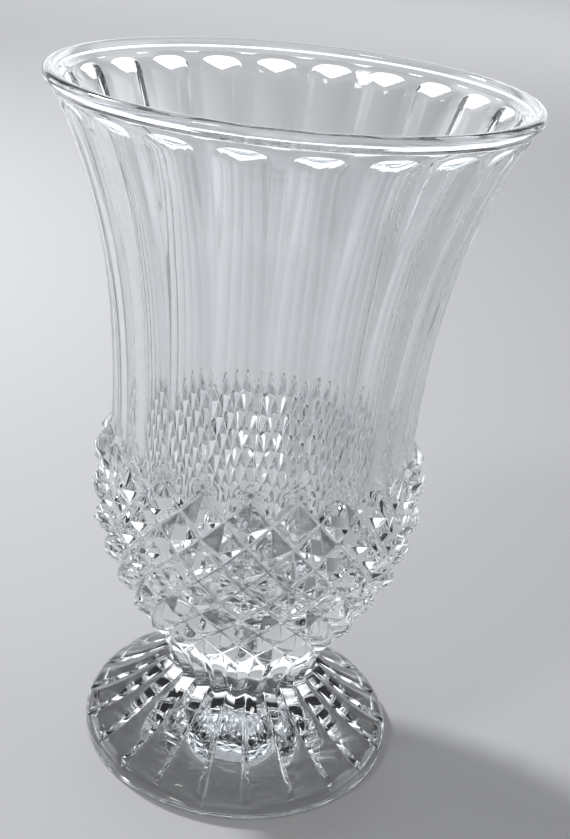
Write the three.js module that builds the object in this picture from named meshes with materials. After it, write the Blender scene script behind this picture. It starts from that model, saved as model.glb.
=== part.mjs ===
// Footed vase of clear pressed glass: a flared bowl, a thin joint wafer and a fluted foot.
// Millimetres, +Z up. The origin is the middle of the base, and the moulded seam of the front faces -Y.
import * as THREE from 'three';

// The pattern: every flute, diamond and petal follows the same division of the circle
const PATTERN_COUNT = 22;
const SEAM_TURN = THREE.MathUtils.degToRad(-1.8);
const COLUMNS = PATTERN_COUNT * 4;

// Heights, stacked from the base
const VASE_HEIGHT = 252;
const FOOT_HEIGHT = 29.9;
const WAFER_THICKNESS = 1.4;
const JOINT_GAP = 0.3;
const STEM_HEIGHT = 19;
const BAND_HEIGHT = 77;
const FLOOR_RISE = 7;
const FLOOR_ROUND = 42;

// Bell of the bowl, above the diamonds
const RIM_DIAMETER = 161;
const BEAD_THICKNESS = 4.5;
const BEAD_NECK = 0.5;
const WAIST_DIAMETER = 108.4;
const WAIST_LEAN = 1.8;
const BELL_CURVE = 2.6;
const BELL_WALL = 4.6;
const WALL_INSET = 2;
const FLOOR_INSET = 0.6;
const FLUTE_DEPTH = 1.3;
const FLUTE_START = 3;
const ARCH_RISE = 4.2;
const ARCH_TO_RIM = 6;

// Band of diamonds
const DIAMOND_ROWS = 9;
const ROW_SHRINK = 0.966;
const DIAMOND_DEPTH = 5.2;
const BAND_STEP = 1.1;

// Curve of the body: where its widest point lies in the band, and how far its ends reach along it
const BODY_FULLNESS = 0.69;
const BODY_REACH_LOW = 0.153;
const BODY_REACH_HIGH = 0.416;

// Neck, where the three pieces meet
const NECK_DIAMETER = 54.4;
const NECK_FLUTE_DEPTH = 2.4;
const STEM_FLUTE_DEPTH = 1.4;
const WAFER_INSET = 0.4;

// Foot
const FOOT_DIAMETER = 118.4;
const RING_HEIGHT = 4.6;
const RING_BEVEL = 0.9;
const PETAL_INSET = 2.7;
const PETAL_END_HEIGHT = 9;
const PETAL_CROWN = 0.7;
const STRIP_DEPTH = 2;
const STRIP_WIDTH_SHARE = 0.3;
const REST_WIDTH = 5.3;
const HOLLOW_HEIGHT = 5;
const HOLLOW_POWER = 2;

// Curve of the petals: shares of the way out from the neck and down from it, at its two inner points
const PETAL_REACH_OUTER = { outward: 0.556, down: 0.7 };
const PETAL_REACH_NECK = { outward: 0.113, down: 0.197 };

// How many rows of facets each stretch has, and how they crowd towards the rim
const STEM_STEPS = 4;
const BELL_STEPS = 8;
const BEAD_STEPS = 6;
const WALL_STEPS = 7;
const FLOOR_STEPS = 6;
const HOLLOW_STEPS = 6;
const PETAL_STEPS = 8;
const ROW_CROWDING = 1.3;

// Heights and radii that follow from the sizes above
const STEM_BOTTOM = FOOT_HEIGHT + WAFER_THICKNESS + 2 * JOINT_GAP;
const BAND_BOTTOM = STEM_BOTTOM + STEM_HEIGHT;
const BAND_TOP = BAND_BOTTOM + BAND_HEIGHT;
const FLOOR = BAND_BOTTOM + FLOOR_RISE;
const NECK_RADIUS = NECK_DIAMETER / 2;
const WAIST_RADIUS = WAIST_DIAMETER / 2;
const BAND_RADIUS = WAIST_RADIUS + BAND_STEP;
const WALL_TOP = VASE_HEIGHT - BEAD_THICKNESS - BEAD_NECK;
const WALL_TOP_RADIUS = RIM_DIAMETER / 2 - WALL_INSET;
const ARCH_TOP = VASE_HEIGHT - ARCH_TO_RIM;
const ARCH_SPRING = ARCH_TOP - ARCH_RISE;
const FOOT_RADIUS = FOOT_DIAMETER / 2;

const plain = () => 0;

function nearestOdd(value) {
  return 2 * Math.floor(value / 2) + 1;
}

/** Share of a flute's depth at u half pitches from the seam: 0 on the ridges, 1 in the middle. */
function hollow(u) {
  return 1 - (u - nearestOdd(u)) ** 2;
}

/** Height of the pyramid at u half pitches and k rows down, from 0 in the grooves to 1 at a tip. */
function pyramid(u, k) {
  const a = nearestOdd(u + k);
  const b = nearestOdd(u - k);
  const row = (a - b) / 2;
  if (row < 1 || row > DIAMOND_ROWS) {
    return 0;
  }
  return 1 - Math.max(Math.abs(u + k - a), Math.abs(u - k - b));
}

/** How far a point at u, k lies outside the zigzag edges of the band, in half diamonds. */
function outsideBand(u, k) {
  const toRidge = 1 - Math.abs(u - nearestOdd(u));
  const above = 1 - k;
  const below = k - DIAMOND_ROWS;
  return Math.max(0, Math.max(above, below) - 1 + toRidge);
}

/** Height of row k of the diamonds: the rows get lower towards the neck. */
function rowHeight(k) {
  const share = (1 - ROW_SHRINK ** k) / (1 - ROW_SHRINK ** (DIAMOND_ROWS + 1));
  return BAND_TOP - BAND_HEIGHT * share;
}

/** Radius of the body between the neck and the widest point of the band. */
function bodyRadius(height) {
  const bottom = new THREE.Vector2(NECK_RADIUS, STEM_BOTTOM);
  const top = new THREE.Vector2(BAND_RADIUS, BAND_BOTTOM + BODY_FULLNESS * BAND_HEIGHT);
  if (height >= top.y) {
    return top.x;
  }
  const low = bottom.clone().lerp(top, BODY_REACH_LOW);
  const high = new THREE.Vector2(top.x, THREE.MathUtils.lerp(top.y, bottom.y, BODY_REACH_HIGH));
  const curve = new THREE.CubicBezierCurve(bottom, low, high, top);
  let from = 0;
  let to = 1;
  for (let halving = 0; halving < 40; halving += 1) {
    const middle = (from + to) / 2;
    if (curve.getPoint(middle).y < height) {
      from = middle;
    } else {
      to = middle;
    }
  }
  return curve.getPoint(from).x;
}

/** Radius of the bell over the ridges of its flutes. */
function bellRadius(height) {
  const t = THREE.MathUtils.clamp((height - BAND_TOP) / (WALL_TOP - BAND_TOP), 0, 1);
  const flare = WALL_TOP_RADIUS - WAIST_RADIUS - WAIST_LEAN;
  return WAIST_RADIUS + WAIST_LEAN * t + flare * t ** BELL_CURVE;
}

/** Flutes of the stem, deepest at the neck and ending under the diamonds. */
function stemRows() {
  const rows = [];
  for (let i = 0; i < STEM_STEPS; i += 1) {
    const t = i / STEM_STEPS;
    const height = STEM_BOTTOM + STEM_HEIGHT * t;
    const depth = THREE.MathUtils.lerp(NECK_FLUTE_DEPTH, STEM_FLUTE_DEPTH, t);
    rows.push({ radius: bodyRadius(height), height, cut: (u) => depth * hollow(u) });
  }
  return rows;
}

/** Rows of four-sided pyramids, from the lowest points up, with the flutes running into both edges. */
function bandRows() {
  const rows = [];
  for (let half = 2 * (DIAMOND_ROWS + 1); half >= 0; half -= 1) {
    const k = half / 2;
    const height = rowHeight(k);
    const radius = bodyRadius(height);
    const depth = DIAMOND_DEPTH * (radius / BAND_RADIUS) ** 2;
    const flute = k < 1 ? FLUTE_DEPTH + BAND_STEP : STEM_FLUTE_DEPTH;
    const cut = (u) => flute * hollow(u) * Math.min(1, 2 * outsideBand(u, k)) - depth * pyramid(u, k);
    rows.push({ radius, height, cut, k });
  }
  return rows;
}

/** Fluted wall of the bell, ending in a row of arches under the rim. */
function bellRows() {
  const rows = [];
  const fluted = (u) => FLUTE_DEPTH * hollow(u);
  const start = BAND_TOP + FLUTE_START;
  for (let i = 0; i <= BELL_STEPS; i += 1) {
    const share = 1 - (1 - i / BELL_STEPS) ** ROW_CROWDING;
    const height = THREE.MathUtils.lerp(start, ARCH_SPRING, share);
    rows.push({ radius: bellRadius(height), height, cut: fluted });
  }
  const shoulder = (ARCH_SPRING + ARCH_TOP) / 2;
  rows.push({ radius: bellRadius(shoulder), height: shoulder, cut: fluted });
  rows.push({ radius: bellRadius(ARCH_TOP), height: ARCH_TOP, cut: plain });
  return rows;
}

/** Round bead of the rim, from the outer wall over the top to the inner wall. */
function beadRows() {
  const rows = [];
  const bead = BEAD_THICKNESS / 2;
  for (let i = 0; i <= BEAD_STEPS; i += 1) {
    const angle = THREE.MathUtils.degToRad(THREE.MathUtils.lerp(-40, 200, i / BEAD_STEPS));
    const radius = RIM_DIAMETER / 2 - bead + bead * Math.cos(angle);
    rows.push({ radius, height: VASE_HEIGHT - bead + bead * Math.sin(angle), cut: plain });
  }
  return rows;
}

/** Smooth inside of the bowl, down to a round bottom. */
function insideRows() {
  const rows = [];
  const roundTop = FLOOR + FLOOR_ROUND;
  const roundRadius = WAIST_RADIUS - BELL_WALL - FLOOR_INSET;
  for (let i = 0; i < WALL_STEPS; i += 1) {
    const height = THREE.MathUtils.lerp(ARCH_TOP, BAND_TOP, (i / WALL_STEPS) ** ROW_CROWDING);
    rows.push({ radius: bellRadius(height) - BELL_WALL, height, cut: plain });
  }
  for (let i = 0; i < FLOOR_STEPS; i += 1) {
    const angle = (i / FLOOR_STEPS) * (Math.PI / 2);
    const height = roundTop - FLOOR_ROUND * Math.sin(angle);
    rows.push({ radius: roundRadius * Math.cos(angle), height, cut: plain });
  }
  return rows;
}

/** Hollow under the foot, its flat rest and the outer edge of its ring, from the middle outwards. */
function baseRows() {
  const rows = [];
  const rest = FOOT_RADIUS - RING_BEVEL;
  const hollowRadius = rest - REST_WIDTH;
  for (let i = 1; i < HOLLOW_STEPS; i += 1) {
    const share = Math.sin((i / HOLLOW_STEPS) * (Math.PI / 2));
    const height = HOLLOW_HEIGHT * (1 - share ** HOLLOW_POWER) ** (1 / HOLLOW_POWER);
    rows.push({ radius: hollowRadius * share, height, cut: plain });
  }
  rows.push({ radius: hollowRadius, height: 0, cut: plain });
  rows.push({ radius: rest, height: 0, cut: plain });
  rows.push({ radius: FOOT_RADIUS, height: RING_BEVEL, cut: plain });
  rows.push({ radius: FOOT_RADIUS, height: RING_HEIGHT, cut: plain });
  return rows;
}

/** Depth below the crest of a petal: its crowned back, and the narrow strip sunk between two petals. */
function petalCut(u) {
  const offset = Math.abs(u - nearestOdd(u));
  const strip = Math.max(0, 1 - offset / STRIP_WIDTH_SHARE);
  return PETAL_CROWN * hollow(u) + (STRIP_DEPTH - PETAL_CROWN) * strip;
}

/** Petals of the foot, from their round ends up to the neck. */
function petalRows() {
  const edge = new THREE.Vector2(FOOT_RADIUS - PETAL_INSET, PETAL_END_HEIGHT);
  const neck = new THREE.Vector2(NECK_RADIUS, FOOT_HEIGHT);
  const reach = (share) => new THREE.Vector2(
    THREE.MathUtils.lerp(neck.x, edge.x, share.outward),
    THREE.MathUtils.lerp(neck.y, edge.y, share.down),
  );
  const curve = new THREE.CubicBezierCurve(edge, reach(PETAL_REACH_OUTER), reach(PETAL_REACH_NECK), neck);
  const rows = [{
    radius: FOOT_RADIUS - PETAL_INSET / 3,
    height: (RING_HEIGHT + PETAL_END_HEIGHT) / 2,
    cut: petalCut,
    inward: new THREE.Vector2(-1, 0),
  }];
  for (let i = 0; i < PETAL_STEPS; i += 1) {
    const point = curve.getPoint(i / PETAL_STEPS);
    const along = curve.getTangent(i / PETAL_STEPS);
    const inward = new THREE.Vector2(-along.y, along.x);
    rows.push({ radius: point.x, height: point.y, cut: petalCut, inward });
  }
  rows.push({ radius: neck.x, height: neck.y, cut: (u) => NECK_FLUTE_DEPTH * hollow(u) });
  return rows;
}

/** Moves the columns beside a strip towards it, so that the strip is narrow and the petal wide. */
function gatherAtStrips(u) {
  const middle = nearestOdd(u);
  const offset = u - middle;
  return Math.abs(offset) === 0.5 ? middle + Math.sign(offset) * STRIP_WIDTH_SHARE : u;
}

/** Turned solid whose rows are cut in or raised round the pattern. It starts and ends on the axis. */
function patterned(rows, warp = (u) => u) {
  const profile = rows.map((row) => new THREE.Vector2(row.radius, row.height));
  const geometry = new THREE.LatheGeometry(profile, COLUMNS);
  const position = geometry.attributes.position;
  for (let column = 0; column <= COLUMNS; column += 1) {
    const u = warp(column / 2);
    const angle = SEAM_TURN + (u * Math.PI) / PATTERN_COUNT;
    rows.forEach((row, j) => {
      const depth = row.cut(u);
      const inward = row.inward ?? new THREE.Vector2(-1, 0);
      const radius = row.radius + depth * inward.x;
      const height = row.height + depth * inward.y;
      const vertex = column * rows.length + j;
      position.setXYZ(vertex, radius * Math.sin(angle), height, radius * Math.cos(angle));
    });
  }
  geometry.setIndex(facets(rows));
  geometry.rotateX(Math.PI / 2);
  geometry.computeVertexNormals();
  return geometry;
}

/** Triangles of a turned solid. In the band their long edges follow the grooves. */
function facets(rows) {
  const index = [];
  for (let column = 0; column < COLUMNS; column += 1) {
    const here = column * rows.length;
    const next = ((column + 1) % COLUMNS) * rows.length;
    for (let j = 0; j < rows.length - 1; j += 1) {
      const [a, b, c, d] = [here + j, next + j, next + j + 1, here + j + 1];
      if (j === 0) {
        index.push(a, c, d);
      } else if (j === rows.length - 2) {
        index.push(a, b, d);
      } else if (risesLeft(column / 2, rows[j].k)) {
        index.push(a, b, d, b, c, d);
      } else {
        index.push(a, b, c, a, c, d);
      }
    }
  }
  return index;
}

/** Whether the groove through a cell of the band climbs to the left. */
function risesLeft(u, k) {
  return k !== undefined && THREE.MathUtils.euclideanModulo(u - k + 0.5, 2) === 0;
}

function glass(opacity) {
  return new THREE.MeshStandardMaterial({
    color: 0xeef3f6,
    roughness: 0.05,
    metalness: 0,
    transparent: true,
    opacity,
  });
}

function bowl() {
  const rows = [
    { radius: 0, height: STEM_BOTTOM, cut: plain },
    ...stemRows(),
    ...bandRows(),
    ...bellRows(),
    ...beadRows(),
    ...insideRows(),
    { radius: 0, height: FLOOR, cut: plain },
  ];
  const mesh = new THREE.Mesh(patterned(rows), glass(0.35));
  mesh.name = 'bowl';
  return mesh;
}

function jointWafer() {
  const outline = [];
  for (let column = 0; column < COLUMNS; column += 1) {
    const u = column / 2;
    const angle = SEAM_TURN + (u * Math.PI) / PATTERN_COUNT;
    const radius = NECK_RADIUS - WAFER_INSET - NECK_FLUTE_DEPTH * hollow(u);
    outline.push(new THREE.Vector2(radius * Math.sin(angle), -radius * Math.cos(angle)));
  }
  const geometry = new THREE.ExtrudeGeometry(new THREE.Shape(outline), {
    depth: WAFER_THICKNESS,
    bevelEnabled: false,
  });
  const mesh = new THREE.Mesh(geometry, glass(0.5));
  mesh.name = 'joint_wafer';
  mesh.position.z = FOOT_HEIGHT + JOINT_GAP;
  return mesh;
}

function foot() {
  const rows = [
    { radius: 0, height: HOLLOW_HEIGHT, cut: plain },
    ...baseRows(),
    ...petalRows(),
    { radius: 0, height: FOOT_HEIGHT, cut: plain },
  ];
  const mesh = new THREE.Mesh(patterned(rows, gatherAtStrips), glass(0.35));
  mesh.name = 'foot';
  return mesh;
}

const vase = new THREE.Group();
vase.add(bowl(), jointWafer(), foot());

export default vase;
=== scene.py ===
"""Footed vase of clear pressed glass: a fluted bell over a band of diamonds, a thin joint and a petalled foot.

Objects are in metres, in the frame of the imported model: +Z up, the middle of the base at the origin and the
mould seam of the front towards -Y. The sizes in the classes are in millimetres, as a mould maker gives them.
"""
import logging
import math
from collections.abc import Mapping
from dataclasses import dataclass
from enum import Enum

import bmesh
import bpy
import numpy as np
from mathutils import Matrix, Vector


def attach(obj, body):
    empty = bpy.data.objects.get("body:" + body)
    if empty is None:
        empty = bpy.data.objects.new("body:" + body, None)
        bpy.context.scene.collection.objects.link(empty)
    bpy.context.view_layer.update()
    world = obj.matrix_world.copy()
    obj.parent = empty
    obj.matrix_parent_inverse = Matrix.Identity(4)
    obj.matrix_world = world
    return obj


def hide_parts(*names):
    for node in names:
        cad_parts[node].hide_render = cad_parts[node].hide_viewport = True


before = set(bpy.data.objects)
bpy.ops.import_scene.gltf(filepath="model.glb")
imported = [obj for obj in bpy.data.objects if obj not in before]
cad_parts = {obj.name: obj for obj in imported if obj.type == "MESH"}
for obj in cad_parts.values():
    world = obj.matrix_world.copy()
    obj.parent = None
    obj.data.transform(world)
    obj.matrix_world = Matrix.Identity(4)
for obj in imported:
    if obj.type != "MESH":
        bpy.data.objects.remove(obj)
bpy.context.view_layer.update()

LOG = logging.getLogger("vase")
MM = 0.001
WELD_MM = 0.003  # points nearer than this are one point
CREASE = 32.0  # degrees past which an edge of the mould stays sharp
BODY = "root"


def linear(hex_colour: str) -> tuple[float, float, float, float]:
    """Turns an sRGB hex colour into Blender's linear colour by the sRGB curve: a line near black, then a power.

    Args:
        hex_colour: Six hex digits after a hash mark.

    Returns:
        Red, green and blue as linear light, and an alpha of 1.
    """
    channels = [int(hex_colour[i:i + 2], 16) / 255 for i in (1, 3, 5)]
    light = [c / 12.92 if c <= 0.04045 else ((c + 0.055) / 1.055) ** 2.4 for c in channels]
    return (*light, 1.0)


def smooth_step(value: np.ndarray | float, start: float, stop: float) -> np.ndarray:
    """Rises from 0 at start to 1 at stop, level at both: 3 s squared less 2 s cubed of the share s.

    Args:
        value: Where the step is read.
        start: Value at which the step begins.
        stop: Value at which it is done. It may be below start.

    Returns:
        The step at each value.
    """
    share = np.clip((np.asarray(value, dtype=float) - start) / (stop - start), 0, 1)
    return share * share * (3 - 2 * share)


def mirrored(half: np.ndarray) -> np.ndarray:
    """Samples from -1 to 1 that repeat the given samples from 0 to 1 on both sides, along the last axis."""
    return np.concatenate([-half[..., :0:-1], half], axis=-1)


def bezier(corners: list[tuple[float, float]], count: int) -> np.ndarray:
    """Points of a cubic Bezier curve: each corner weighted by its Bernstein share of t.

    Args:
        corners: Four points, the two ends and the two handles between them.
        count: How many points are made, ends included.

    Returns:
        An array of count points.
    """
    t = np.linspace(0, 1, count)[:, None]
    a, b, c, d = (np.asarray(corner, dtype=float) for corner in corners)
    return (1 - t) ** 3 * a + 3 * (1 - t) ** 2 * t * b + 3 * (1 - t) * t ** 2 * c + t ** 3 * d


def arc(centre: tuple[float, float], radius: float, start: float, stop: float, count: int) -> np.ndarray:
    """Points of a circular arc: the centre plus the radius along each angle.

    Args:
        centre: Middle of the circle.
        radius: Its radius.
        start: First angle in degrees.
        stop: Last angle in degrees.
        count: How many points are made, ends included.

    Returns:
        An array of count points.
    """
    angle = np.radians(np.linspace(start, stop, count))
    return np.asarray(centre) + radius * np.stack([np.cos(angle), np.sin(angle)], axis=-1)


@dataclass(frozen=True)
class Pattern:
    """Division of the circle that every flute, diamond and petal of the mould follows.

    Places round the vase are counted in half pitches u from the seam: ridges lie at even u and the middles of
    flutes at odd u.
    """

    count: int = 22
    seam_turn: float = math.radians(-1.8)
    across: tuple[float, ...] = (0.0, 0.08, 0.3, 0.54, 0.76, 0.9, 0.925, 0.945, 1.0)
    pleat_round: float = 0.04

    def place(self, u: np.ndarray, radius: np.ndarray, height: np.ndarray) -> np.ndarray:
        """Points in metres: radius times the sine and less the cosine of the angle at u, and the height.

        Args:
            u: Half pitches from the seam.
            radius: Distance from the axis in mm.
            height: Height in mm.

        Returns:
            An array with x, y and z along its last axis.
        """
        u, radius, height = np.broadcast_arrays(u, radius, height)
        angle = self.seam_turn + u * math.pi / self.count
        return MM * np.stack([radius * np.sin(angle), -radius * np.cos(angle), height], axis=-1)

    def columns(self, half: np.ndarray) -> np.ndarray:
        """Places of the columns of a grid that goes once round, with the same samples in every flute.

        Args:
            half: Samples from 0, the middle of a flute, to 1, its ridge, along the last axis.

        Returns:
            Rising values of u from 0 to twice the count, along the last axis.
        """
        middles = 1 + 2 * np.arange(self.count)
        inside = middles[:, None] + mirrored(half)[..., None, :-1]
        end = np.full((*half.shape[:-1], 1), 2.0 * self.count)
        return np.concatenate([inside.reshape(*half.shape[:-1], -1), end], axis=-1)

    @staticmethod
    def from_middle(u: np.ndarray) -> np.ndarray:
        """Distance of u from the middle of its flute, in half pitches: from 0 to 1 at the ridges."""
        return np.abs(u - (2 * np.floor(u / 2) + 1))

    def pleat(self, u: np.ndarray) -> np.ndarray:
        """Share of its depth that a straight-sided flute has at u: 1 less the way from its middle, edges rounded."""
        to_ridge = 1 - np.hypot(Pattern.from_middle(u), self.pleat_round)
        return np.hypot(to_ridge, self.pleat_round)


class Shell:
    """Closed surface that is put together from grids which share their edges."""

    def __init__(self) -> None:
        """Starts with no points and no faces."""
        self.points: list[np.ndarray] = []
        self.quads: list[np.ndarray] = []
        self.size = 0

    def add(self, grids: np.ndarray) -> None:
        """Adds one grid of points, or many of the same shape, with a quad in every cell.

        Args:
            grids: Array of points whose last three axes are the rows, the columns and x, y, z.
        """
        rows, columns = grids.shape[-3:-1]
        many = grids.reshape(-1, rows * columns, 3)
        corner = (np.arange(rows - 1)[:, None] * columns + np.arange(columns - 1)).ravel()
        cell = np.stack([corner, corner + 1, corner + columns + 1, corner + columns], axis=-1)
        first = self.size + np.arange(len(many)) * rows * columns
        self.points.append(many.reshape(-1, 3))
        self.quads.append((first[:, None, None] + cell).reshape(-1, 4))
        self.size += many.shape[0] * many.shape[1]

    def build(self, name: str) -> bpy.types.Object:
        """Welds the grids into one closed mesh with its faces pointing out.

        Args:
            name: Name of the new object.

        Returns:
            The object, at the origin and linked to the scene.
        """
        mesh = bpy.data.meshes.new(name)
        mesh.from_pydata(np.concatenate(self.points).tolist(), [], np.concatenate(self.quads).tolist())
        form = bmesh.new()
        form.from_mesh(mesh)
        bmesh.ops.remove_doubles(form, verts=form.verts, dist=WELD_MM * MM)
        bmesh.ops.recalc_face_normals(form, faces=form.faces)
        loose = sum(not edge.is_manifold for edge in form.edges)
        triangles = sum(len(face.verts) - 2 for face in form.faces)
        volume = form.calc_volume(signed=True)
        form.to_mesh(mesh)
        form.free()
        mesh.shade_smooth()
        mesh.set_sharp_from_angle(angle=math.radians(CREASE))
        LOG.info("%s: %d triangles, %d open edges, %.1f cm3", name, triangles, loose, volume * 1e6)
        piece = bpy.data.objects.new(name, mesh)
        bpy.context.collection.objects.link(piece)
        return piece


def add_node(
    tree: bpy.types.NodeTree,
    kind: str,
    settings: Mapping[str | int, object] | None = None,
    links: Mapping[str | int, bpy.types.NodeSocket] | None = None,
) -> bpy.types.Node:
    """Adds a node to a tree, with its settings and what goes into it.

    Args:
        tree: Node tree that the node joins.
        kind: Type name of the node.
        settings: Values by property name, or by socket name or number for an input.
        links: Output sockets by the input's name or number.

    Returns:
        The new node.
    """
    node = tree.nodes.new(kind)
    for name, value in (settings or {}).items():
        if isinstance(name, str) and hasattr(node, name):
            setattr(node, name, value)
        else:
            node.inputs[name].default_value = value
    for name, source in (links or {}).items():
        tree.links.new(source, node.inputs[name])
    return node


@dataclass(frozen=True)
class PressedGlass:
    """Clear glass as it leaves an iron mould and a fire-polishing flame.

    The flame leaves a mirror-smooth skin with a faint waviness of the mould, which the eye reads as lines of
    light that swim a little along the flutes.
    """

    name: str
    tint: str = "#F7F9FA"
    ior: float = 1.53
    roughness: float = 0.0
    wave_mm: float = 9.0
    wave_height_mm: float = 0.012
    ripple_mm: float = 2.2
    ripple_height_mm: float = 0.0008

    def material(self) -> bpy.types.Material:
        """Builds the material: a clear dielectric with two sizes of waviness in its skin.

        Returns:
            The new material.
        """
        material = bpy.data.materials.new(self.name)
        material.use_nodes = True
        tree = material.node_tree
        shader = tree.nodes["Principled BSDF"]
        shader.inputs["Base Color"].default_value = linear(self.tint)
        shader.inputs["Transmission Weight"].default_value = 1.0
        shader.inputs["IOR"].default_value = self.ior
        shader.inputs["Roughness"].default_value = self.roughness
        where = add_node(tree, "ShaderNodeTexCoord").outputs["Object"]
        skin = {}
        for size, height in ((self.wave_mm, self.wave_height_mm), (self.ripple_mm, self.ripple_height_mm)):
            noise = add_node(
                tree, "ShaderNodeTexNoise", {"Scale": 1 / (size * MM), "Detail": 1.0}, {"Vector": where}
            )
            links = {"Height": noise.outputs["Fac"], **skin}
            skin["Normal"] = add_node(tree, "ShaderNodeBump", {"Distance": height * MM}, links).outputs["Normal"]
        tree.links.new(skin["Normal"], shader.inputs["Normal"])
        return material


def finish_piece(piece: bpy.types.Object, node: str, material: bpy.types.Material) -> None:
    """Puts a finished piece in the place of its solid in the frame.

    Args:
        piece: The new object.
        node: Name of the solid that it stands for.
        material: Its finish.
    """
    piece.data.materials.append(material)
    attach(piece, BODY)
    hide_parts(node)
    LOG.info("%s stands for %s in %s", piece.name, node, material.name)


@dataclass
class Joint:
    """Sizes at the neck, where the bowl, the wafer and the foot were put together hot.

    Fields whose names end in rows say how the flat ends are divided into rings.
    """

    foot_top: float = 29.9
    wafer_bottom: float = 30.2
    wafer_top: float = 31.6
    bowl_bottom: float = 31.9
    melt: float = 0.04
    neck_radius: float = 27.6
    flute_depth: float = 3.0
    edge_round: float = 0.4
    foot_rows: tuple[float, ...] = (1.0, 0.8, 0.5, 0.25, 0.0)
    stem_rows: tuple[float, ...] = (1.0, 0.97, 0.8, 0.5, 0.25, 0.0)
    wafer_rows: tuple[float, ...] = (0.0, 0.4, 0.8)


@dataclass
class Bowl:
    """Bowl of the vase: rim bead, fluted bell, band of diamonds and fluted stem, pressed in one piece.

    Fields whose names end in rows, points, across or side say how the surface is divided into cells, apart from
    diamond_rows, which counts the rows of diamonds.
    """

    pattern: Pattern
    joint: Joint
    rim_radius: float = 80.5
    rim_height: float = 252.0
    bead_radius: float = 2.25
    bead_turn: tuple[float, float] = (-40.0, 200.0)
    bead_rows: int = 16
    wall_top: float = 247.0
    wall_top_radius: float = 78.5
    waist_radius: float = 54.2
    waist_lean: float = 1.8
    bell_curve: float = 2.6
    bell_wall: float = 4.6
    flute_depth: float = 1.3
    ridge_round: float = 0.13
    flute_start: tuple[float, ...] = (0.0, 0.35, 0.8, 1.4, 2.1, 3.0)
    row_gap: float = 4.0
    wall_rows: int = 14
    bend_start: float = 213.0
    bend_height: float = 225.0
    bend_rows: int = 6
    scoop_depth: float = 2.1
    scoop_start: float = 205.0
    arch_spring: float = 235.8
    arch_rise: float = 4.8
    arch_power: float = 2.8
    arch_bevel: float = 4.6
    bevel_rows: tuple[float, ...] = (0.06, 0.2, 0.4, 0.6, 0.8, 0.94, 1.0)
    lip_rows: int = 6
    arch_width: float = 0.81
    arch_across: tuple[float, ...] = (0.0, 0.1, 0.35, 0.6, 0.8, 0.93, 1.0)
    rib_across: tuple[float, ...] = (0.35, 1.0)
    narrowing: float = 150.0
    bevel_round: float = 0.25
    band_top: float = 127.9
    band_height: float = 77.0
    diamond_rows: int = 9
    row_shrink: float = 0.966
    diamond_depth: float = 5.6
    band_step: float = 1.1
    groove_share: float = 0.065
    notch_from: float = -0.01
    notch_to: float = 0.13
    tip_round: float = 0.04
    ridge_power: float = 24.0
    widest: float = 104.03
    low_handle: tuple[float, float] = (0.14, 0.22)
    high_handle: float = 0.41
    body_points: int = 200
    stem_flute: float = 2.1
    stem_end: float = 1.2
    stem_rows: int = 9
    edge_rows: tuple[float, ...] = (1.0, 0.6, 0.25, 0.05)
    floor: float = 57.9
    floor_round: float = 42.0
    floor_inset: float = 0.6
    floor_rows: int = 20
    inside_start: float = 247.6
    inside_flare: float = 240.0
    inside_wall: float = 236.0
    inside_end: float = 6.0
    end_rows: int = 3
    along_side: tuple[float, ...] = (0.0, 0.42, 0.8, 0.94, 1.0)
    seam_height: float = 0.16
    seam_pearl: float = 2.3
    seam_wave: float = 0.45
    seam_width: float = 0.01
    seam_fade: tuple[float, float] = (88.0, 76.0)

    def bell_radius(self, height: np.ndarray) -> np.ndarray:
        """Radius over the ridges of the bell: a slight lean plus a flare that grows as a power of the height.

        Args:
            height: Where it is read.

        Returns:
            The radius at each height, level below the bell.
        """
        t = np.clip((height - self.band_top) / (self.wall_top - self.band_top), 0, 1)
        flare = self.wall_top_radius - self.waist_radius - self.waist_lean
        return self.waist_radius + self.waist_lean * t + flare * t ** self.bell_curve

    def body_radius(self, height: np.ndarray) -> np.ndarray:
        """Radius of the body in its grooves: a Bezier curve up to the widest point, and level above it.

        Args:
            height: Where it is read.

        Returns:
            The radius at each height.
        """
        bottom = np.array([self.joint.neck_radius, self.joint.bowl_bottom])
        top = np.array([self.waist_radius + self.band_step, self.widest])
        low = bottom + np.array(self.low_handle) * (top - bottom)
        high = (top[0], top[1] + self.high_handle * (bottom[1] - top[1]))
        curve = bezier([tuple(bottom), tuple(low), high, tuple(top)], self.body_points)
        return np.interp(height, curve[:, 1], curve[:, 0])

    def row_height(self, k: np.ndarray) -> np.ndarray:
        """Height of row k of the diamonds: each row is lower than the one above by the same share.

        Args:
            k: Number of the row, 0 at the top edge of the band. It may lie between two rows.

        Returns:
            The height of each row.
        """
        rows = self.diamond_rows + 1
        share = (1 - self.row_shrink ** k) / (1 - self.row_shrink ** rows)
        return self.band_top - self.band_height * share

    def flute(self, from_middle: np.ndarray, depth: np.ndarray | float) -> np.ndarray:
        """Depth of a flute: a parabola that is deepest in the middle, rounded where two flutes meet."""
        return np.hypot(depth * np.clip(1 - from_middle ** 2, 0, 1), self.ridge_round)

    def rim_columns(self) -> np.ndarray:
        """Samples from the middle of a flute to its ridge at the rim, where a flat rib divides the arches."""
        arch = self.arch_width * np.array(self.arch_across)
        return np.concatenate([arch, self.arch_width + (1 - self.arch_width) * np.array(self.rib_across)])

    def notch(self, to_edge: np.ndarray) -> np.ndarray:
        """Share of its depth that a flute has beside the zigzag edge of the band, at t half diamonds from it."""
        return smooth_step(to_edge, self.groove_share + self.notch_from, self.groove_share + self.notch_to)

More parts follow.
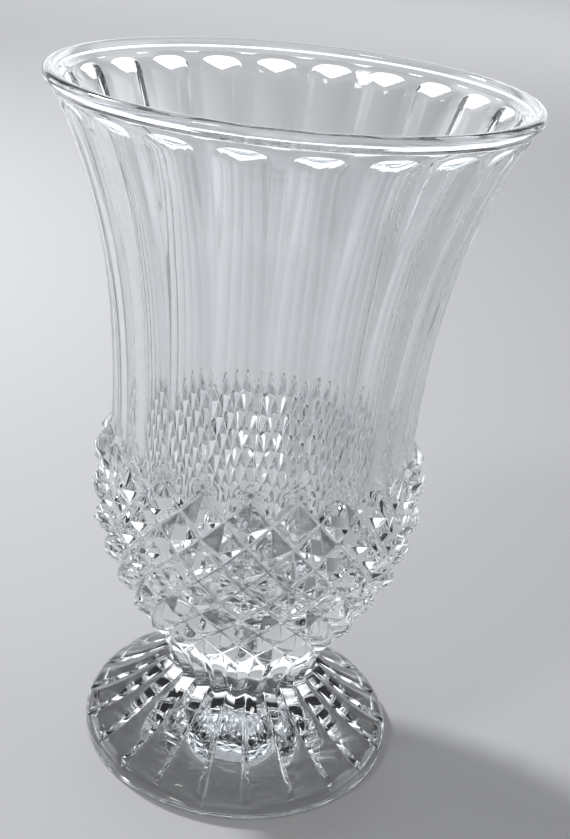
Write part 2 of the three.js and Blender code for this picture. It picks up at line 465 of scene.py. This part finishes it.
    def seam(self, u: np.ndarray, height: np.ndarray) -> np.ndarray:
        """Mould seam on two opposite ridges of the stem: a row of small pearls that fades upwards.

        Args:
            u: Half pitches from the seam.
            height: Height in mm.

        Returns:
            How far the seam stands proud of the glass.
        """
        on_seam = np.abs(np.mod(u + 1, self.pattern.count) - 1) < self.seam_width
        pearls = 1 - self.seam_wave + self.seam_wave * np.sin(2 * math.pi * height / self.seam_pearl)
        return self.seam_height * on_seam * pearls * smooth_step(height, *self.seam_fade)

    def facets(self, sides: tuple[int, ...], rows: range, shell: Shell) -> None:
        """Adds facets of the diamonds of some rows.

        A facet is a grid of t, from 0 at the tip to 1 in the groove, and w, from -1 to 1 along the groove. A
        diamond's own axes run across its two pairs of grooves, and a facet faces one way along one of them. The
        surface stands proud of the body by the depth times the share of the way from the groove to the tip.

        Args:
            sides: Which of the four facets are made: right below, right above, left above, left below.
            rows: Rows of diamonds, where the rows just outside the band hold the ends of the flutes.
            shell: Surface that takes the facets.
        """
        t, w = np.meshgrid(self.pattern.across, mirrored(np.array(self.along_side)), indexing="ij")
        across = [(t, t * w), (t * w, t), (-t, -t * w), (-t * w, -t)]
        for row in rows:
            middles = (row + 1) % 2 + 2 * np.arange(self.pattern.count)
            for side in sides:
                down, up = across[side]
                u = middles[:, None, None] + (down + up) / 2
                k = row + (down - up) / 2 + 0 * u
                height = self.row_height(k)
                body = self.body_radius(height)
                if 1 <= row <= self.diamond_rows:
                    from_tip = t * (1 + np.abs(w) ** self.ridge_power) ** (1 / self.ridge_power)
                    share = 1 - np.hypot(from_tip, self.tip_round)
                    rise = np.clip((share - self.groove_share) / (1 - self.groove_share), 0, 1)
                    widest = self.waist_radius + self.band_step
                    radius = body + self.diamond_depth * (body / widest) ** 2 * rise
                elif row < 1:
                    depth = self.flute_depth + self.band_step
                    radius = body - self.flute(Pattern.from_middle(u), depth) * self.notch(1 - t)
                else:
                    radius = body - self.stem_flute * self.pattern.pleat(u) * self.notch(1 - t)
                shell.add(self.pattern.place(u, radius + self.seam(u, height), height))

    def bell(self, shell: Shell) -> None:
        """Adds the outside of the bell: flutes that start under the band's edge and end in arches under the rim.

        The rows of the grid bend up into the arches. An arch is half a superellipse. The flute gets narrower and
        deeper towards it and runs out over it in an even bevel, where its depth is the smaller of the two.

        Args:
            shell: Surface that takes the bell.
        """
        start = self.band_top + np.array(self.flute_start)
        wall = np.linspace(start[-1] + self.row_gap, self.bend_height, self.wall_rows)
        bend = np.linspace(self.bend_height, self.arch_spring, self.bend_rows + 1)[1:]
        edge = self.arch_spring + self.arch_bevel * np.array(self.bevel_rows)
        level = np.concatenate([start, wall, bend, edge])
        narrow = smooth_step(level, self.narrowing, self.arch_spring)[:, None]
        across = np.array(self.pattern.across)
        u = self.pattern.columns(across + (self.rim_columns() - across) * narrow)
        middle = Pattern.from_middle(u)
        in_flute = np.clip(middle / (1 - (1 - self.arch_width) * narrow), 0, 1)
        arch = self.arch_rise * (1 - in_flute ** self.arch_power) ** (1 / self.arch_power)
        bent = smooth_step(level, self.bend_start, self.arch_spring)
        height = level[:, None] + bent[:, None] * arch
        fall = 1 - smooth_step(level, self.band_top, start[-1])[:, None]
        scoop = smooth_step(level, self.scoop_start, self.arch_spring)[:, None]
        depth = self.flute_depth + self.band_step * fall + (self.scoop_depth - self.flute_depth) * scoop
        share = 1 - fall * (1 - self.notch(1 - middle))
        bevel = self.scoop_depth * (edge[-1] - level[:, None]) / self.arch_bevel
        cut = self.flute(in_flute, depth) * share
        cut = (cut + bevel - np.hypot(cut - bevel, self.bevel_round)) / 2
        cut *= smooth_step(level, edge[-1], edge[-2])[:, None]
        radius = self.bell_radius(height) + self.band_step * fall - cut
        shell.add(self.pattern.place(u, radius, height))
        lip = height[-1] + np.linspace(0, 1, self.lip_rows)[:, None] * (self.wall_top - height[-1])
        bead = self.bead()[0] * np.ones((len(u[-1]), 2))
        radius = np.concatenate([self.bell_radius(lip), bead[None, :, 0]])
        shell.add(self.pattern.place(u[-1], radius, np.concatenate([lip, bead[None, :, 1]])))

    def bead(self) -> np.ndarray:
        """Section of the rim's bead: part of a circle, from the outside over the top to the inside."""
        centre = (self.rim_radius - self.bead_radius, self.rim_height - self.bead_radius)
        return arc(centre, self.bead_radius, *self.bead_turn, self.bead_rows)

    def rim_and_inside(self, shell: Shell) -> None:
        """Adds the bead of the rim, the smooth inner wall and the round bottom.

        The wall follows the bell at an even thickness, and the bottom is a quarter of an ellipse.

        Args:
            shell: Surface that takes them.
        """
        heights = np.concatenate([
            np.linspace(self.inside_start, self.inside_flare, self.lip_rows),
            np.linspace(self.inside_wall, self.band_top, self.wall_rows),
            np.linspace(self.band_top - self.inside_end, self.floor + self.floor_round, self.end_rows + 1)[:-1],
        ])
        wall = np.stack([self.bell_radius(heights) - self.bell_wall, heights], axis=-1)
        wall[heights < self.band_top, 0] -= self.floor_inset * smooth_step(
            heights[heights < self.band_top], self.band_top, self.floor + self.floor_round)
        turn = np.radians(np.linspace(0, 90, self.floor_rows))
        bottom_radius = self.waist_radius - self.bell_wall - self.floor_inset
        bottom = np.stack([
            bottom_radius * np.cos(turn),
            self.floor + self.floor_round * (1 - np.sin(turn)),
        ], axis=-1)
        bottom[-1, 0] = 0
        profile = np.concatenate([self.bead(), wall, bottom])
        u = self.pattern.columns(self.rim_columns())
        shell.add(self.pattern.place(u, profile[:, :1], profile[:, 1:]))

    def stem(self, shell: Shell) -> None:
        """Adds the fluted stem under the band and the flat end that meets the joint.

        Args:
            shell: Surface that takes the stem.
        """
        u = self.pattern.columns(np.array(self.pattern.across))
        middle = Pattern.from_middle(u)
        top = self.band_top - self.band_height
        end = self.joint.wafer_top - self.joint.melt
        start = top - np.array(self.flute_start)
        level = np.concatenate([
            start[:-1],
            np.linspace(start[-1], end + self.stem_end, self.stem_rows),
            end + self.joint.edge_round * np.array(self.edge_rows),
        ])[:, None]
        fall = 1 - smooth_step(level, top, start[-1])
        down = (top - level) / (top - end)
        depth = self.stem_flute + (self.joint.flute_depth - self.stem_flute) * down
        share = 1 - fall * (1 - self.notch(1 - middle))
        into_edge = np.clip(1 - (level - end) / self.joint.edge_round, 0, 1)
        edge = self.joint.edge_round * (1 - np.sqrt(1 - into_edge ** 2))
        radius = self.body_radius(level) - depth * self.pattern.pleat(u) * share - edge
        radius = radius + self.seam(u, level)
        shell.add(self.pattern.place(u, radius, level))
        inwards = np.array(self.joint.stem_rows)[:, None]
        last = np.where(inwards == 1, level[-1, 0], end)
        shell.add(self.pattern.place(u, radius[-1] * inwards, last))

    def build(self) -> bpy.types.Object:
        """Puts the outside, the rim and the inside together.

        Returns:
            The bowl as one closed piece.
        """
        shell = Shell()
        self.facets((0, 1, 2, 3), range(1, self.diamond_rows + 1), shell)
        self.facets((0, 3), range(0, 1), shell)
        self.facets((1, 2), range(self.diamond_rows + 1, self.diamond_rows + 2), shell)
        self.bell(shell)
        self.rim_and_inside(shell)
        self.stem(shell)
        return shell.build("glass_bowl")


@dataclass
class Wafer:
    """Thin wafer of glass between the stem and the foot, with the same star outline a little smaller."""

    pattern: Pattern
    joint: Joint
    inset: float = 0.4
    side_rows: int = 9

    def build(self) -> bpy.types.Object:
        """Makes the wafer: its star outline times a section that is flat with rounded edges.

        Returns:
            The wafer as one closed piece.
        """
        joint = self.joint
        u = self.pattern.columns(np.array(self.pattern.across))
        outline = joint.neck_radius - self.inset - joint.flute_depth * self.pattern.pleat(u)
        middle = (joint.wafer_bottom + joint.wafer_top) / 2
        half = (joint.wafer_top - joint.wafer_bottom) / 2
        side = arc((-half, 0), half, -90, 90, self.side_rows)
        inwards = np.array(joint.wafer_rows)[:, None]
        radius = np.concatenate([outline * inwards, outline + side[:, :1], outline * inwards[::-1]])
        flat = np.full(len(inwards), half)
        height = np.concatenate([-flat, side[:, 1], flat])[:, None] + middle
        shell = Shell()
        shell.add(self.pattern.place(u, radius, height))
        return shell.build("glass_joint_wafer")


@dataclass
class Foot:
    """Round foot: a hollow underside, a flat rest, a smooth ring and petals with grooves between them.

    Fields whose names end in rows, points or across say how the surface is divided into cells, and end_rows also
    says over how many rows the petals run into the end face.
    """

    pattern: Pattern
    joint: Joint
    radius: float = 59.2
    hollow_radius: float = 53.0
    hollow_height: float = 5.0
    hollow_power: float = 2.0
    hollow_rows: int = 24
    rest_round: float = 0.8
    rest_rows: int = 5
    ring_round: float = 1.6
    ring_rows: int = 6
    ring_height: float = 4.3
    petal_end: tuple[float, float] = (56.5, 9.2)
    face_bulge: tuple[tuple[float, float], tuple[float, float]] = ((0.0, 1.8), (0.9, -1.3))
    face_points: int = 60
    face_rows: int = 12
    end_rows: int = 6
    crest_rows: int = 34
    edge_rows: int = 5
    far_handle: tuple[float, float] = (0.556, 0.7)
    near_handle: tuple[float, float] = (0.113, 0.197)
    crown: float = 1.1
    groove_depth: float = 1.9
    groove: float = 0.18
    groove_end: float = 0.24
    groove_across: tuple[float, ...] = (0.0, 0.06, 0.35, 0.7, 0.94, 1.0)
    petal_across: tuple[float, ...] = (0.05, 0.35, 0.68, 1.0)
    widening: tuple[float, float] = (47.0, 55.0)
    pleats: tuple[float, float] = (36.0, 28.5)

    def underside(self) -> np.ndarray:
        """Section of the hollow and the rest: a superellipse from the middle out, then two small rounds.

        Returns:
            Points of radius and height, from the middle to the ring.
        """
        share = np.sin(np.radians(np.linspace(0, 90, self.hollow_rows)))
        rise = (1 - share ** self.hollow_power) ** (1 / self.hollow_power)
        height = self.rest_round + (self.hollow_height - self.rest_round) * rise
        hollow = np.stack([self.hollow_radius * share, height], axis=-1)
        inner = (self.hollow_radius + self.rest_round, self.rest_round)
        outer = (self.radius - self.ring_round, self.ring_round)
        return np.concatenate([
            hollow,
            arc(inner, self.rest_round, 180, 270, self.rest_rows)[1:],
            arc(outer, self.ring_round, -90, 0, self.ring_rows),
        ])

    def face(self) -> np.ndarray:
        """Section of the sloping end face: a Bezier curve from the ring up to the crest of a petal.

        Returns:
            Points of radius and height.
        """
        ring = np.array([self.radius, self.ring_height])
        end = np.array(self.petal_end)
        low, high = (np.array(bulge) for bulge in self.face_bulge)
        return bezier([tuple(ring), tuple(ring + low), tuple(end + high), tuple(end)], self.face_points)

    def crest(self) -> tuple[np.ndarray, np.ndarray]:
        """Section along the crest of a petal from its end to the neck: a Bezier curve.

        Returns:
            Points of radius and height, and at each the unit vector that points into the glass.
        """
        end = np.array(self.petal_end)
        neck = np.array([self.joint.neck_radius, self.joint.foot_top])
        far, near = (neck + (end - neck) * np.array(way) for way in (self.far_handle, self.near_handle))
        points = bezier([tuple(end), tuple(far), tuple(near), tuple(neck)], self.crest_rows)
        along = np.gradient(points, axis=0)
        along /= np.linalg.norm(along, axis=1, keepdims=True)
        return points, np.stack([-along[:, 1], along[:, 0]], axis=-1)

    def columns(self, radius: np.ndarray) -> tuple[np.ndarray, np.ndarray]:
        """Columns that follow the edges of the grooves, and the depth of the section under the crests.

        A groove lies in the valley between two petals and gets shallower towards the neck. Its sides rise evenly
        from the middle to the petals, and are wider at the petals' ends. A petal is crowned as the square of the
        way from its crest.

        Args:
            radius: Distance from the axis of each row.

        Returns:
            Values of u and depths, each with one row for each radius.
        """
        wide = smooth_step(radius, *self.widening)[:, None]
        edge = self.groove + (self.groove_end - self.groove) * wide
        side = edge * np.array(self.groove_across)
        petal = edge + (1 - edge) * np.array(self.petal_across)
        half = np.concatenate([side, petal], axis=-1)
        u = self.pattern.columns(half)
        middle = Pattern.from_middle(u)
        petal_depth = self.crown * (1 - middle) ** 2
        share = np.clip((edge - middle) / edge, 0, 1)
        deepest = self.groove_depth * radius[:, None] / radius[0]
        return u, petal_depth + (deepest - petal_depth) * share

    def petals(self) -> tuple[np.ndarray, np.ndarray, np.ndarray]:
        """Grid of the end face and the petals, from the ring to the neck.

        The end face isn't cut: where the section lies deeper, the top meets the face lower down. That edge is
        found where the face lies under the straight line through the crest's end by the depth of the section.
        Near the neck the section turns into the star of the joint, whose depth points straight inwards.

        Returns:
            Values of u, radius and height.
        """
        points, inward = self.crest()
        u, depth = self.columns(points[:, 0])
        face = self.face()
        number = np.arange(len(face))
        below = (face - points[0]) @ inward[0]
        meets = np.interp(depth[0], below[::-1], number[::-1])
        rows = np.linspace(0, 1, self.face_rows)[:, None] * meets
        end = [np.interp(rows, number, face[:, axis]) for axis in (0, 1)]
        at_neck = smooth_step(points[:, 0], *self.pleats)[:, None]
        depth = depth * (1 - at_neck) + self.joint.flute_depth * self.pattern.pleat(u) * at_neck
        way = inward * (1 - at_neck) + np.array([-1, 0]) * at_neck
        top = [points[:, axis, None] + depth * way[:, axis, None] for axis in (0, 1)]
        fade = np.clip(1 - np.arange(len(points)) / self.end_rows, 0, 1)[:, None]
        top = [part + (edge[-1] - part[0]) * fade for part, edge in zip(top, end)]
        return (
            np.concatenate([np.repeat(u[:1], len(rows), axis=0), u[1:]]),
            np.concatenate([end[0], top[0][1:]]),
            np.concatenate([end[1], top[1][1:]]),
        )

    def build(self) -> bpy.types.Object:
        """Joins the underside, the ring, the petals and the top.

        Returns:
            The foot as one closed piece.
        """
        shell = Shell()
        u, radius, height = self.petals()
        under = self.underside()
        base = np.concatenate([under, [[self.radius, self.ring_height]]])
        shell.add(self.pattern.place(u[0], base[:, :1], base[:, 1:]))
        shell.add(self.pattern.place(u, radius, height))
        turn = np.radians(np.linspace(0, 90, self.edge_rows))[:, None]
        lift = self.joint.wafer_bottom + self.joint.melt - self.joint.foot_top
        radius = radius[-1] - self.joint.edge_round * (1 - np.cos(turn))
        height = height[-1] + lift * np.sin(turn)
        shell.add(self.pattern.place(u[-1], radius, height))
        inwards = np.array(self.joint.foot_rows)[:, None]
        shell.add(self.pattern.place(u[-1], radius[-1] * inwards, height[-1] + 0 * inwards))
        return shell.build("glass_foot")


class Lamp(Enum):
    """Soft lamps of the studio: outline, place, aim and size in metres, beam in degrees and power in watts."""

    KEY = ("DISK", (-0.9, -0.9, 1.5), (-0.1, 0, 0.12), (0.36, 0.36), 60, 0.5)
    SIDE = ("DISK", (-1.0, 0.8, 1.3), (-0.25, 0.4, 0), (0.25, 0.25), 110, 8)
    BACK = ("RECTANGLE", (0, 2.3, 1.4), (0, 2.3, 0), (3.2, 1.5), 90, 10)


@dataclass(frozen=True)
class Panel:
    """Soft patch of light in the surroundings.

    Angles are in degrees: the bearing is counted from +Y towards +X and the height from the horizon.
    """

    bearing: float
    half_width: float
    low: float
    high: float
    light: float
    soft: float = 4.0

    def add(self, tree: bpy.types.NodeTree, way: bpy.types.NodeSocket) -> bpy.types.NodeSocket:
        """Adds the panel's nodes: its light times a smooth step at its sides, its foot and its top.

        Args:
            tree: Node tree of the surroundings.
            way: Socket that holds the direction looked in.

        Returns:
            The socket that holds the panel's light.
        """
        bearing = math.radians(self.bearing)
        ahead = add_node(
            tree,
            "ShaderNodeVectorMath",
            {"operation": "DOT_PRODUCT", 1: (math.sin(bearing), math.cos(bearing), 0.0)},
            {0: way},
        )
        height = add_node(tree, "ShaderNodeSeparateXYZ", links={0: way})
        edges = [
            (ahead.outputs["Value"], math.cos(math.radians(self.half_width + self.soft)),
             math.cos(math.radians(max(self.half_width - self.soft, 0)))),
            (height.outputs["Z"], math.sin(math.radians(self.low - self.soft)),
             math.sin(math.radians(self.low + self.soft))),
            (height.outputs["Z"], math.sin(math.radians(self.high + self.soft)),
             math.sin(math.radians(self.high - self.soft))),
        ]
        light = None
        for source, nothing, full in edges:
            step = add_node(
                tree,
                "ShaderNodeMapRange",
                {"interpolation_type": "SMOOTHSTEP", "From Min": nothing, "From Max": full,
                 "To Min": 0.0, "To Max": self.light if light is None else 1.0},
                {"Value": source},
            ).outputs["Result"]
            if light is None:
                light = step
            else:
                light = add_node(
                    tree, "ShaderNodeMath", {"operation": "MULTIPLY"}, {0: light, 1: step}
                ).outputs["Value"]
        return light


@dataclass
class Studio:
    """Pale floor, soft lamps and surroundings that are pale behind the vase and darker overhead."""

    floor_colour: str = "#E2E3E6"
    glass_bounces: int = 40
    glossy_bounces: int = 16
    diffuse_bounces: int = 4
    floor_size: float = 40.0
    floor_gap_mm: float = 0.15
    floor_glow: float = 0.2
    far_glow: float = 0.85
    fading: tuple[float, float] = (1.2, 5.0)
    glow_colour: str = "#D9DADC"
    floor_roughness: float = 0.8
    floor_shine: float = 0.2
    world_colour: str = "#F4F6FA"
    camera_colour: str = "#D9DADC"
    shade: float = 0.03
    panels: tuple[Panel, ...] = (
        Panel(bearing=0, half_width=32, low=-20, high=26, light=1.9),
        Panel(bearing=-70, half_width=26, low=-20, high=36, light=2.2),
        Panel(bearing=80, half_width=26, low=-20, high=24, light=1.6),
        Panel(bearing=150, half_width=20, low=20, high=60, light=2.0),
        Panel(bearing=180, half_width=22, low=-20, high=22, light=1.5),
    )

    def floor(self) -> None:
        """Makes the floor: one large matt sheet under the vase, which also shows a little of its own pale colour.

        Far from the vase it shows more of that colour, and so it runs into the background.
        """
        half = self.floor_size / 2
        level = -self.floor_gap_mm * MM
        mesh = bpy.data.meshes.new("floor")
        corners = [(-half, -half, level), (half, -half, level), (half, half, level), (-half, half, level)]
        mesh.from_pydata(corners, [], [(0, 1, 2, 3)])
        sheet = bpy.data.objects.new("floor", mesh)
        bpy.context.collection.objects.link(sheet)
        # Matt paper: an even pale ground without a shine of its own, on which the shadow stays soft and clear.
        material = bpy.data.materials.new("matt_paper")
        material.use_nodes = True
        tree = material.node_tree
        shader = tree.nodes["Principled BSDF"]
        shader.inputs["Base Color"].default_value = linear(self.floor_colour)
        shader.inputs["Roughness"].default_value = self.floor_roughness
        shader.inputs["Specular IOR Level"].default_value = self.floor_shine
        glow = add_node(tree, "ShaderNodeEmission", {"Color": linear(self.glow_colour), "Strength": 1.0})
        where = add_node(tree, "ShaderNodeTexCoord").outputs["Object"]
        away = add_node(tree, "ShaderNodeVectorMath", {"operation": "LENGTH"}, {0: where})
        strength = add_node(
            tree,
            "ShaderNodeMapRange",
            {"interpolation_type": "SMOOTHSTEP", "From Min": self.fading[0], "From Max": self.fading[1],
             "To Min": self.floor_glow, "To Max": self.far_glow},
            {"Value": away.outputs["Value"]},
        )
        share = self.seen(tree, strength.outputs["Result"])
        both = add_node(
            tree, "ShaderNodeMixShader", links={0: share, 1: shader.outputs[0], 2: glow.outputs[0]}
        )
        tree.links.new(both.outputs[0], tree.nodes["Material Output"].inputs["Surface"])
        mesh.materials.append(material)

    @staticmethod
    def seen(tree: bpy.types.NodeTree, share: bpy.types.NodeSocket) -> bpy.types.NodeSocket:
        """Gives a share for what is seen directly, in a reflection or through glass, and 0 for light that spreads.

        Args:
            tree: Node tree of the floor.
            share: Socket that holds the share given.

        Returns:
            The socket that holds it.
        """
        ray = add_node(tree, "ShaderNodeLightPath")
        total = ray.outputs["Is Camera Ray"]
        for name in ("Is Glossy Ray", "Is Transmission Ray"):
            total = add_node(
                tree, "ShaderNodeMath", {"operation": "MAXIMUM"}, {0: total, 1: ray.outputs[name]}
            ).outputs["Value"]
        return add_node(
            tree, "ShaderNodeMath", {"operation": "MULTIPLY"}, {0: total, 1: share}
        ).outputs["Value"]

    def world(self) -> None:
        """Makes the surroundings: an even shade plus the panels, and a plain pale colour where the camera sees it."""
        world = bpy.data.worlds.new("studio")
        bpy.context.scene.world = world
        world.use_nodes = True
        tree = world.node_tree
        way = add_node(tree, "ShaderNodeTexCoord").outputs["Generated"]
        light = None
        for panel in self.panels:
            more = panel.add(tree, way)
            settings = {"operation": "ADD"} if light else {"operation": "ADD", 0: self.shade}
            links = {0: light, 1: more} if light else {1: more}
            light = add_node(tree, "ShaderNodeMath", settings, links).outputs["Value"]
        around = tree.nodes["Background"]
        around.inputs["Color"].default_value = linear(self.world_colour)
        tree.links.new(light, around.inputs["Strength"])
        plain = add_node(tree, "ShaderNodeBackground", {"Color": linear(self.camera_colour), "Strength": 1.0})
        both = add_node(
            tree,
            "ShaderNodeMixShader",
            links={
                0: add_node(tree, "ShaderNodeLightPath").outputs["Is Camera Ray"],
                1: around.outputs[0],
                2: plain.outputs[0],
            },
        )
        tree.links.new(both.outputs[0], tree.nodes["World Output"].inputs["Surface"])

    def lamps(self) -> None:
        """Makes the soft lamps, each a flat panel that faces its aim."""
        for lamp in Lamp:
            outline, place, aim, size, beam, power = lamp.value
            light = bpy.data.lights.new(lamp.name.lower(), "AREA")
            light.shape = outline
            light.size, light.size_y = size
            light.spread = math.radians(beam)
            light.energy = power
            holder = bpy.data.objects.new(lamp.name.lower(), light)
            holder.location = place
            holder.rotation_euler = (Vector(aim) - Vector(place)).to_track_quat("-Z", "Y").to_euler()
            bpy.context.collection.objects.link(holder)

    def build(self) -> None:
        """Sets up the floor, the surroundings, the lamps and how often light may bounce inside the glass.

        Light that the glass would focus on the floor is left out, so that the shadow stays soft and even.
        """
        self.floor()
        self.world()
        self.lamps()
        scene = bpy.context.scene
        scene.view_settings.view_transform = "Standard"
        scene.cycles.caustics_refractive = False
        scene.cycles.max_bounces = self.glass_bounces
        scene.cycles.transmission_bounces = self.glass_bounces
        scene.cycles.glossy_bounces = self.glossy_bounces
        scene.cycles.diffuse_bounces = self.diffuse_bounces


@dataclass
class Viewpoint:
    """Camera at the place from which the vase was photographed."""

    place: tuple[float, float, float] = (0.0, -0.4224, 0.3236)
    pitch: float = 0.4248
    pan: float = 0.0175
    roll: float = 0.1035
    focal_px: float = 1294.1
    image_height_px: float = 839.0
    sensor_mm: float = 36.0
    nearest: float = 0.01

    def build(self) -> None:
        """Makes the camera and turns it: pan and pitch give the way it looks, and roll turns it about that way."""
        ahead = Vector((
            math.sin(self.pan) * math.cos(self.pitch),
            math.cos(self.pan) * math.cos(self.pitch),
            -math.sin(self.pitch),
        ))
        level = Vector((math.cos(self.pan), -math.sin(self.pan), 0))
        above = level.cross(ahead)
        right = math.cos(self.roll) * level + math.sin(self.roll) * above
        up = -math.sin(self.roll) * level + math.cos(self.roll) * above
        lens = bpy.data.cameras.new("camera")
        lens.sensor_width = self.sensor_mm
        lens.lens = self.focal_px / self.image_height_px * self.sensor_mm
        lens.clip_start = self.nearest
        holder = bpy.data.objects.new("camera", lens)
        holder.matrix_world = Matrix.Translation(self.place) @ Matrix((right, up, -ahead)).transposed().to_4x4()
        bpy.context.collection.objects.link(holder)
        bpy.context.scene.camera = holder


def main() -> None:
    """Builds the studio, then each piece of the vase, and reports it."""
    logging.basicConfig(level=logging.INFO, format="%(message)s", force=True)
    Viewpoint().build()
    Studio().build()
    pattern = Pattern()
    joint = Joint()
    clear = PressedGlass("fire_polished_pressed_glass").material()
    foot_glass = PressedGlass("fire_polished_foot_glass").material()
    joint_glass = PressedGlass("hot_joined_glass").material()
    finish_piece(Bowl(pattern, joint).build(), "bowl", clear)
    finish_piece(Wafer(pattern, joint).build(), "joint_wafer", joint_glass)
    finish_piece(Foot(pattern, joint).build(), "foot", foot_glass)


if __name__ == "__main__":
    main()
